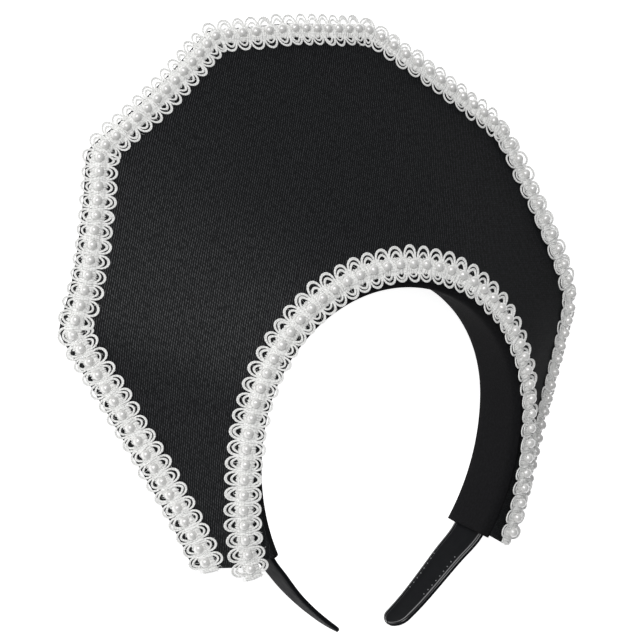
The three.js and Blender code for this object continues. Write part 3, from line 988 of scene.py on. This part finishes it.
def unrolled(folds, rims):
    """The fan's face laid flat: each strip between two rulings is turned down in its own shape."""
    flat_fold, flat_rim = [np.zeros(2)], [np.array([0.0, np.linalg.norm(rims[0] - folds[0])])]

    def third(a, b, from_a, from_b):
        gap = b - a
        length = np.linalg.norm(gap)
        x = (from_a ** 2 - from_b ** 2 + length ** 2) / (2 * length)
        y = math.sqrt(max(from_a ** 2 - x * x, 0.0))
        run = gap / length
        return a + run * x + np.array([run[1], -run[0]]) * y

    for i in range(1, len(folds)):
        f0, r0 = flat_fold[-1], flat_rim[-1]
        f1 = third(f0, r0, np.linalg.norm(folds[i] - folds[i - 1]), np.linalg.norm(folds[i] - rims[i - 1]))
        r1 = third(f1, r0, np.linalg.norm(rims[i] - folds[i]), np.linalg.norm(rims[i] - rims[i - 1]))
        flat_fold.append(f1)
        flat_rim.append(r1)
    return np.array(flat_fold), np.array(flat_rim)


def soft_fold(s, reach):
    """How far the soft folds lift the fan's face at a place, as a share of their depth."""
    lift = 0.0
    for fold in SOFT_FOLDS:
        spot = Vector((s / fold["along"], reach / fold["outwards"], fold["layer"]))
        lift += fold["share"] * noise.noise(spot)
    return lift


def make_fan(settings):
    spots, kept = rim_table()
    even = list(np.linspace(0.0, LAST_EVEN, EVEN_STATIONS)) + [PANEL_END]
    half = np.array(sorted([s for s in even if all(abs(s - k) > NEAR_CORNER for k in kept)] + kept))
    sections = [fan_section(s, float(np.interp(s, spots[:, 0], spots[:, 1]))) for s in half]
    front_size = len(sections[0][0])
    folds = np.array([place(s, *front[FACE_START]) for s, (front, _) in zip(half, sections)])
    rims = np.array([place(s, *front[-1]) for s, (front, _) in zip(half, sections)])
    flat_fold, flat_rim = unrolled(folds, rims)
    depth = settings.fold_depth * 1000
    rings, grain = [], []
    for side in (-1, 1):
        order = range(len(half) - 1, 0, -1) if side < 0 else range(len(half))
        for i in order:
            front, rest = sections[i]
            s = side * half[i]
            length = np.linalg.norm(flat_rim[i] - flat_fold[i])
            run = unit(flat_rim[i] - flat_fold[i])
            slope = fan_slope(s)
            ring = []
            # Each point keeps its place on the fan laid flat, which the twill follows
            for k, (out, back) in enumerate(front + rest):
                reach = (out - front[FACE_START][0]) / math.cos(slope)
                grain.append((flat_fold[i] + run * reach) * np.array([side, 1.0]))
                share = min(max(reach / length, 0.0), 1.0)
                if PAST_FOLD <= k < front_size - 1:
                    lift = depth * math.sin(math.pi * share) ** 0.5 * soft_fold(s, reach)
                    out -= lift * math.sin(slope)
                    back += lift * math.cos(slope)
                cut = END_CUT * share if i == len(half) - 1 else 0.0
                ring.append(place(s - side * cut, out, back))
            rings.append(ring)
    faces = ring_faces(len(rings), len(rings[0]))
    finish = twill_finish(settings.fan_colour, settings.twill_spacing, settings.twill_turn)
    fan = face_out(surface("fan_cloth", np.concatenate(rings), faces, finish, np.array(grain)))
    fan.data.set_sharp_from_angle(angle=math.radians(70))
    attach(fan, "root")
    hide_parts("fan_panel")


# The pearl braid

CORE_HALF = 3.25
# How far a braid runs past the middle of its last pearl, in pearls
BRAID_END = 0.85
FIBRES_IN_TUFT = 31
FIBRES_AT_PEARL = 2
# The spread of a tuft as a share of the core, and how far across the braid its single fibres sit
TUFT_SPREAD = 1.5
FIBRES_ACROSS = (3.0, 5.6)
LOOP_START = 2.6
CORE_EDGE_HEIGHT = 0.55
CORE_CROWN = 1.35
CORE_PUFF = 0.35
# How deep the core lies under the threads, and its underside: its share of the core's width, and its height
CORE_SINK = 0.1
UNDERSIDE_SHARE = 0.9
UNDERSIDE_HEIGHT = 0.25
THREAD_SPACING = 0.52
LOOP_HEIGHT = 1.05
LOOP_LENGTH = 4.5
# The loops at each edge, outer and inner: how far across the braid and how high off the fan their tips are
OUTER_BRAID_EDGES = (
    {"side": 1, "reach": 7.2, "height": 3.0},
    {"side": -1, "reach": 7.7, "height": 0.5},
)
ARCH_BRAID_EDGES = (
    {"side": 1, "reach": 7.9, "height": 3.2},
    {"side": -1, "reach": 7.3, "height": 0.7},
)
# The two loops at each pearl, a wide bow over a pointed one: their width and reach as shares of the full
# ones, how far their sides bulge, how low they hang in metres, and their least and most chance length
LOOP_SHAPES = (
    {"width": 1.0, "reach": 1.0, "bulge": 1.34, "drop": -0.0003, "least": 0.9, "most": 1.04},
    {"width": 0.86, "reach": 0.68, "bulge": 0.42, "drop": 0.0, "least": 0.75, "most": 1.06},
)


def core_height(across, step):
    """The height of the wound core: crowned, and puffed up between the pearls."""
    t = min(abs(across) / CORE_HALF, 1.0)
    puff = CORE_PUFF * (1 - math.cos(2 * math.pi * step)) / 2
    return CORE_EDGE_HEIGHT + (CORE_CROWN + puff) * (1 - t ** 2.6)


class BraidPlan:
    """One braid: its row, the spacing of its pearls, its slope, and how its loops stand at each edge."""

    def __init__(self, name, row, pitch, distance_at, first, count, slope_at, edges):
        self.name, self.row, self.pitch, self.distance_at = name, row, pitch, distance_at
        self.first, self.count, self.slope_at, self.edges = first, count, slope_at, edges

    def lie(self, step):
        return Lie(self.row, self.distance_at(self.first + step), self.slope_at)


def lie_seats(name, lies, height, **more):
    """Seats on the middle line of a braid, at a height off the fan."""
    return seats(
        name, [lie.at(0.0, height) for lie in lies],
        along_row=[lie.heading for lie in lies], off_fan=[lie.up for lie in lies], **more,
    )


def make_core(plan, finish):
    """The core that the threads are wound on, as a closed strip."""
    per_pearl = 5
    profile = np.linspace(-CORE_HALF, CORE_HALF, 11)
    points, grain = [], []
    steps = np.linspace(-BRAID_END, plan.count - 1 + BRAID_END, plan.count * per_pearl + 1)
    for step in steps:
        lie = plan.lie(step)
        for v in profile:
            points.append(lie.at(v, core_height(v, step) - CORE_SINK))
            grain.append((step * plan.pitch, v))
        points.append(lie.at(CORE_HALF * UNDERSIDE_SHARE, UNDERSIDE_HEIGHT))
        points.append(lie.at(-CORE_HALF * UNDERSIDE_SHARE, UNDERSIDE_HEIGHT))
        grain += [(step * plan.pitch, CORE_HALF + 1), (step * plan.pitch, -CORE_HALF - 1)]
    faces = ring_faces(len(steps), len(profile) + 2)
    return face_out(surface(plan.name + "_core", np.array(points), faces, finish, np.array(grain)))


def make_windings(plan, settings, finish):
    """The threads wound across the core, each a small uneven bow over its back."""
    count = int((plan.count - 1 + 2 * BRAID_END) * plan.pitch / THREAD_SPACING)
    steps = [-BRAID_END + (i + 0.5) * THREAD_SPACING / plan.pitch for i in range(count)]
    tree = Tree("Wound Threads " + plan.name)
    thread = tree.size("Thread Radius", 0.0003)
    half = tree.size("Half Width", CORE_HALF * MM)
    seed = tree.size("Seed", settings.seed, "NodeSocketInt")
    edge, high, sway = CORE_EDGE_HEIGHT * MM, 0.0024, 0.0003
    body = tree.tube(tree.bow(
        7,
        tree.combine(0.0, tree.times(half, -1.04), edge),
        tree.combine(sway, tree.times(half, -0.75), high),
        tree.combine(-sway, tree.times(half, 0.75), high),
        tree.combine(0.0, tree.times(half, 1.04), edge),
    ), thread, 4)
    turn = tree.tilt(tree.facing(), (0.0, 0.0, 1.0), tree.chance(-0.3, 0.3, seed))
    puff = tree.math("DIVIDE", tree.field("puff", "FLOAT"), (CORE_EDGE_HEIGHT + CORE_CROWN) * MM)
    size = tree.combine(
        tree.chance(0.7, 1.3, tree.plus(seed, 1)),
        tree.chance(0.92, 1.06, tree.plus(seed, 2)),
        tree.times(puff, tree.chance(0.9, 1.1, tree.plus(seed, 3))),
    )
    tree.finish(tree.on_seats(body, turn, size), finish)
    return tree.grow(plan.name + "_windings", lie_seats(
        "winding_seats", [plan.lie(step) for step in steps], 0.0,
        puff=[core_height(0.0, step) * MM for step in steps],
    ))


def make_pearls(plan, settings, finish):
    tree = Tree("Pearls " + plan.name)
    radius = tree.size("Pearl Radius", settings.pearl_radius)
    seed = tree.size("Seed", settings.seed, "NodeSocketInt")
    ball = tree.add("GeometryNodeMeshUVSphere", Segments=14, Rings=9, Radius=radius)
    scale = tree.chance(0.96, 1.0, seed)
    tree.finish(tree.on_seats(ball, tree.facing(), tree.combine(scale, scale, scale)), finish)
    lies = [plan.lie(i) for i in range(plan.count)]
    return tree.grow(plan.name + "_pearls", lie_seats("pearl_seats", lies, PEARL_LIFT))


def loop_seats(plan):
    """Where loops stand: between the valleys on either side of each pearl, on both edges of the braid."""
    points, along_row, off_fan, span, tall = [], [], [], [], []
    for edge in plan.edges:
        start = edge["side"] * LOOP_START
        for i in range(plan.count):
            before, here, after = (plan.lie(i + step).at(start, LOOP_HEIGHT) for step in (-0.5, 0.0, 0.5))
            tip = plan.lie(i).at(edge["side"] * edge["reach"], edge["height"])
            row = unit(after - before)
            out = (tip - here) - row * float((tip - here) @ row)
            points.append((before + after) / 2)
            along_row.append(row * edge["side"])
            off_fan.append(unit(np.cross(row * edge["side"], out)))
            span.append(np.linalg.norm(after - before) / ARCH_PITCH)
            tall.append(np.linalg.norm(out) / LOOP_LENGTH)
    return seats("loop_seats", points, along_row=along_row, off_fan=off_fan, span=span, tall=tall)


def make_loops(plan, settings, finish):
    """The loops along both edges, each of two strands side by side: a wide bow over a pointed one."""
    tree = Tree("Edge Loops " + plan.name)
    reach = tree.size("Loop Length", settings.loop_length - settings.loop_cord)
    width = tree.size("Loop Half Width", 0.00272)
    cord = tree.size("Strand Radius", settings.loop_cord)
    seed = tree.size("Seed", settings.seed, "NodeSocketInt")

    def strand(half, tall, bulge, drop):
        high = tree.times(tall, 4.0 / 3.0)
        return tree.tube(tree.bow(
            9,
            tree.combine(tree.times(half, -1.0), 0.0, 0.0),
            tree.combine(tree.times(half, -bulge), high, drop),
            tree.combine(tree.times(half, bulge), high, drop),
            tree.combine(half, 0.0, 0.0),
        ), cord, 5)

    def loop(half, tall, bulge, drop):
        """Two strands, the second one inside the first and a little lower."""
        step = tree.times(cord, 1.7)
        pair = tree.add("GeometryNodeJoinGeometry", strand(half, tall, bulge, drop))
        inner_half = tree.math("SUBTRACT", half, tree.times(step, 0.6))
        inner_tall = tree.math("SUBTRACT", tall, step)
        tree.join(strand(inner_half, inner_tall, bulge, drop - 0.0001), pair.inputs[0])
        return pair

    both = tree.add("GeometryNodeJoinGeometry")
    for k, shape in enumerate(LOOP_SHAPES):
        half, tall = tree.times(width, shape["width"]), tree.times(reach, shape["reach"])
        body = loop(half, tall, shape["bulge"], shape["drop"])
        lean = tree.chance(-0.06, 0.12, tree.plus(seed, 5 + k))
        turn = tree.tilt(tree.facing(), (1.0, 0.0, 0.0), lean)
        turn = tree.tilt(turn, (0.0, 0.0, 1.0), tree.chance(-0.1, 0.1, tree.plus(seed, 8 + k)))
        stretch = tree.chance(0.95, 1.07, tree.plus(seed, 10 + k))
        length = tree.chance(shape["least"], shape["most"], tree.plus(seed, 12 + k))
        size = tree.combine(
            tree.times(tree.field("span", "FLOAT"), stretch),
            tree.times(tree.field("tall", "FLOAT"), length),
            1.0,
        )
        tree.join(tree.on_seats(body, turn, size), both.inputs[0])
    tree.finish(both, finish)
    return tree.grow(plan.name + "_loops", loop_seats(plan))


def make_fluff(plan, settings, finish):
    """Loose fibres: a tuft at each cut end of the braid, and single ones along its edges."""
    lies, across, ways = [], [], []
    for step, way in ((-BRAID_END, -1), (plan.count - 1 + BRAID_END, 1)):
        for i in range(FIBRES_IN_TUFT):
            lies.append(plan.lie(step - way * 0.25))
            across.append(CORE_HALF * TUFT_SPREAD * (2 * i / (FIBRES_IN_TUFT - 1) - 1))
            ways.append(lies[-1].heading * way)
    chance = np.random.default_rng(settings.seed)
    for step in range(plan.count):
        for side in (-1, 1):
            for _ in range(FIBRES_AT_PEARL):
                lies.append(plan.lie(step + chance.uniform(-0.5, 0.5)))
                across.append(side * chance.uniform(*FIBRES_ACROSS))
                turn = chance.uniform(-1.2, 1.2)
                ways.append(lies[-1].edge * side * math.cos(turn) + lies[-1].heading * math.sin(turn))
    tree = Tree("Loose Fibres " + plan.name)
    fibre = tree.size("Fibre Radius", 0.00006)
    seed = tree.size("Seed", settings.seed, "NodeSocketInt")
    body = tree.tube(tree.bow(
        5,
        (-0.0008, 0.0, -0.0004),
        (0.0006, 0.0009, 0.0009),
        (0.0016, -0.0009, 0.0007),
        (0.0024, 0.0004, 0.0),
    ), fibre, 3)
    turn = tree.tilt(tree.facing(), (0.0, 0.0, 1.0), tree.chance(-0.7, 0.7, seed))
    turn = tree.tilt(turn, (1.0, 0.0, 0.0), tree.chance(-1.5, 1.5, tree.plus(seed, 1)))
    size = tree.chance(0.5, 1.0, tree.plus(seed, 2))
    tree.finish(tree.on_seats(body, turn, tree.combine(size, size, 1.0)), finish)
    return tree.grow(plan.name + "_fluff", seats(
        "fibre_seats", [lie.at(v, LOOP_HEIGHT) for lie, v in zip(lies, across)],
        along_row=ways, off_fan=[lie.up for lie in lies],
    ))


def make_braid(plan, settings):
    core = cord_finish(plan.name + "_core_yarn", settings.cord_colour)
    cord = cord_finish(plan.name + "_loop_cord", settings.cord_colour)
    pieces = [
        make_core(plan, core),
        make_windings(plan, settings, core),
        make_pearls(plan, settings, pearl_finish(settings.pearl_colour)),
        make_loops(plan, settings, cord),
        make_fluff(plan, settings, cord),
    ]
    for piece in pieces:
        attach(piece, "root")
        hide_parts(plan.name.replace("braid", "pearl_braid"))


# The stage: the photo's viewpoint, as seen by the worn headpiece

CAMERA_AT = (-1204.958, -1797.435, 500.429)
CAMERA_RIGHT = (0.845850, -0.527919, 0.076418)
CAMERA_DOWN = (-0.059963, -0.236456, -0.969793)
CAMERA_AHEAD = (0.530039, 0.815717, -0.231662)
PHOTO_SIZE = 640
PHOTO_FOCAL = 5756.793
SENSOR = 36.0
FLOOR_REACH = 6.0
LIGHT_SIDE = 1.9
LIGHT_DISTANCE = 2.7
LIT_SPOT = (0.0, 0.0, 0.03)


def soft_light(name, at, side, power):
    """A square soft light that faces the headpiece."""
    lamp = bpy.data.lights.new(name, "AREA")
    lamp.shape = "RECTANGLE"
    lamp.size, lamp.size_y = side, side
    lamp.energy = power
    obj = add_object(name, lamp)
    obj.location = at
    obj.rotation_euler = (Vector(LIT_SPOT) - at).to_track_quat("-Z", "Y").to_euler()


def make_stage(settings):
    scene = bpy.context.scene
    camera = bpy.data.cameras.new("photo_camera")
    camera.sensor_width = SENSOR
    camera.lens = PHOTO_FOCAL / PHOTO_SIZE * SENSOR
    camera.clip_start, camera.clip_end = 0.05, 20.0
    eye = add_object("photo_camera", camera)
    right, down, ahead = (Vector(turned(axis)) for axis in (CAMERA_RIGHT, CAMERA_DOWN, CAMERA_AHEAD))
    at = Vector(lying(CAMERA_AT))
    eye.matrix_world = Matrix.Translation(at) @ Matrix((right, -down, -ahead)).transposed().to_4x4()
    scene.camera = eye

    mesh = bpy.data.meshes.new("floor")
    corners = [(-1, -1), (1, -1), (1, 1), (-1, 1)]
    mesh.from_pydata([(x * FLOOR_REACH, y * FLOOR_REACH, 0) for x, y in corners], [], [(0, 1, 2, 3)])
    colour = settings.floor_colour
    paper = Finish(
        "studio_floor", colour, 0.8,
        Emission_Color=(1.0, 1.0, 1.0, 1.0), Emission_Strength=settings.floor_glow,
    )
    cloudy = paper.noise(paper.on_object(), 3.0)
    paper.paint(paper.colours(cloudy, [c * 0.99 for c in colour], colour))
    mesh.materials.append(paper.material)
    add_object("floor", mesh)

    towards = (-ahead - right * 0.04 - down * 0.3).normalized()
    soft_light("key_light", towards * LIGHT_DISTANCE, LIGHT_SIDE, settings.key_power)

    world = bpy.data.worlds.new("studio")
    world.use_nodes = True
    sky = world.node_tree.nodes["Background"]
    sky.inputs["Color"].default_value = (0.97, 0.98, 1.0, 1.0)
    sky.inputs["Strength"].default_value = settings.sky_strength
    scene.world = world
    scene.view_settings.view_transform = "Standard"


# Operators and panel

class MakeBand(bpy.types.Operator):
    """Makes the plastic headband with its rims and teeth"""
    bl_idname = "headpiece.make_band"
    bl_label = "Make Headband"

    def execute(self, context):
        make_band(context.scene.headpiece_band)
        return {"FINISHED"}


class MakeCover(bpy.types.Operator):
    """Makes the cloth sewn round the band"""
    bl_idname = "headpiece.make_cover"
    bl_label = "Make Band Cover"

    def execute(self, context):
        make_cover(context.scene.headpiece_cloth)
        return {"FINISHED"}


class MakeFan(bpy.types.Operator):
    """Makes the stiff cloth fan"""
    bl_idname = "headpiece.make_fan"
    bl_label = "Make Fan"

    def execute(self, context):
        make_fan(context.scene.headpiece_cloth)
        return {"FINISHED"}


class MakeOuterBraid(bpy.types.Operator):
    """Makes the pearl braid round the fan's outer edge"""
    bl_idname = "headpiece.make_outer_braid"
    bl_label = "Make Outer Braid"

    def execute(self, context):
        row = outer_row()
        plan = BraidPlan("outer_braid", row, OUTER_PITCH, outer_spacing(row), -(OUTER_PEARLS - 1) / 2,
                         OUTER_PEARLS, fan_slope, OUTER_BRAID_EDGES)
        make_braid(plan, context.scene.headpiece_braid)
        return {"FINISHED"}


class MakeArchBraid(bpy.types.Operator):
    """Makes the pearl braid along the arch over the forehead"""
    bl_idname = "headpiece.make_arch_braid"
    bl_label = "Make Arch Braid"

    def execute(self, context):
        plan = BraidPlan("arch_braid", inner_row(), ARCH_PITCH, lambda step: step * ARCH_PITCH, ARCH_FIRST,
                         ARCH_PEARLS, lambda s: (fold_at(s)[2] + fan_slope(s)) / 2, ARCH_BRAID_EDGES)
        make_braid(plan, context.scene.headpiece_braid)
        return {"FINISHED"}


class MakeStage(bpy.types.Operator):
    """Makes the floor, the soft light and the camera"""
    bl_idname = "headpiece.make_stage"
    bl_label = "Make Stage"

    def execute(self, context):
        make_stage(context.scene.headpiece_stage)
        return {"FINISHED"}


OPERATORS = (MakeStage, MakeBand, MakeCover, MakeFan, MakeOuterBraid, MakeArchBraid)


class HeadpiecePanel(bpy.types.Panel):
    """Lists the pieces of the headpiece and their settings"""
    bl_idname = "VIEW3D_PT_headpiece"
    bl_label = "Headpiece"
    bl_space_type = "VIEW_3D"
    bl_region_type = "UI"
    bl_category = "Headpiece"

    def draw(self, context):
        for operator in OPERATORS:
            self.layout.operator(operator.bl_idname)
        for name in SETTINGS:
            group = getattr(context.scene, name)
            box = self.layout.box()
            for prop in group.__annotations__:
                box.prop(group, prop)


SETTINGS = {
    "headpiece_cloth": HeadpieceCloth,
    "headpiece_band": HeadpieceBand,
    "headpiece_braid": HeadpieceBraid,
    "headpiece_stage": HeadpieceStage,
}
CLASSES = (*SETTINGS.values(), *OPERATORS, HeadpiecePanel)


def register():
    for each in CLASSES:
        bpy.utils.register_class(each)
    for name, group in SETTINGS.items():
        setattr(bpy.types.Scene, name, bpy.props.PointerProperty(type=group))


def unregister():
    for name in SETTINGS:
        delattr(bpy.types.Scene, name)
    for each in reversed(CLASSES):
        bpy.utils.unregister_class(each)


def main():
    register()
    bpy.ops.headpiece.make_stage()
    bpy.ops.headpiece.make_band()
    bpy.ops.headpiece.make_cover()
    bpy.ops.headpiece.make_fan()
    bpy.ops.headpiece.make_outer_braid()
    bpy.ops.headpiece.make_arch_braid()


if __name__ == "__main__":
    main()
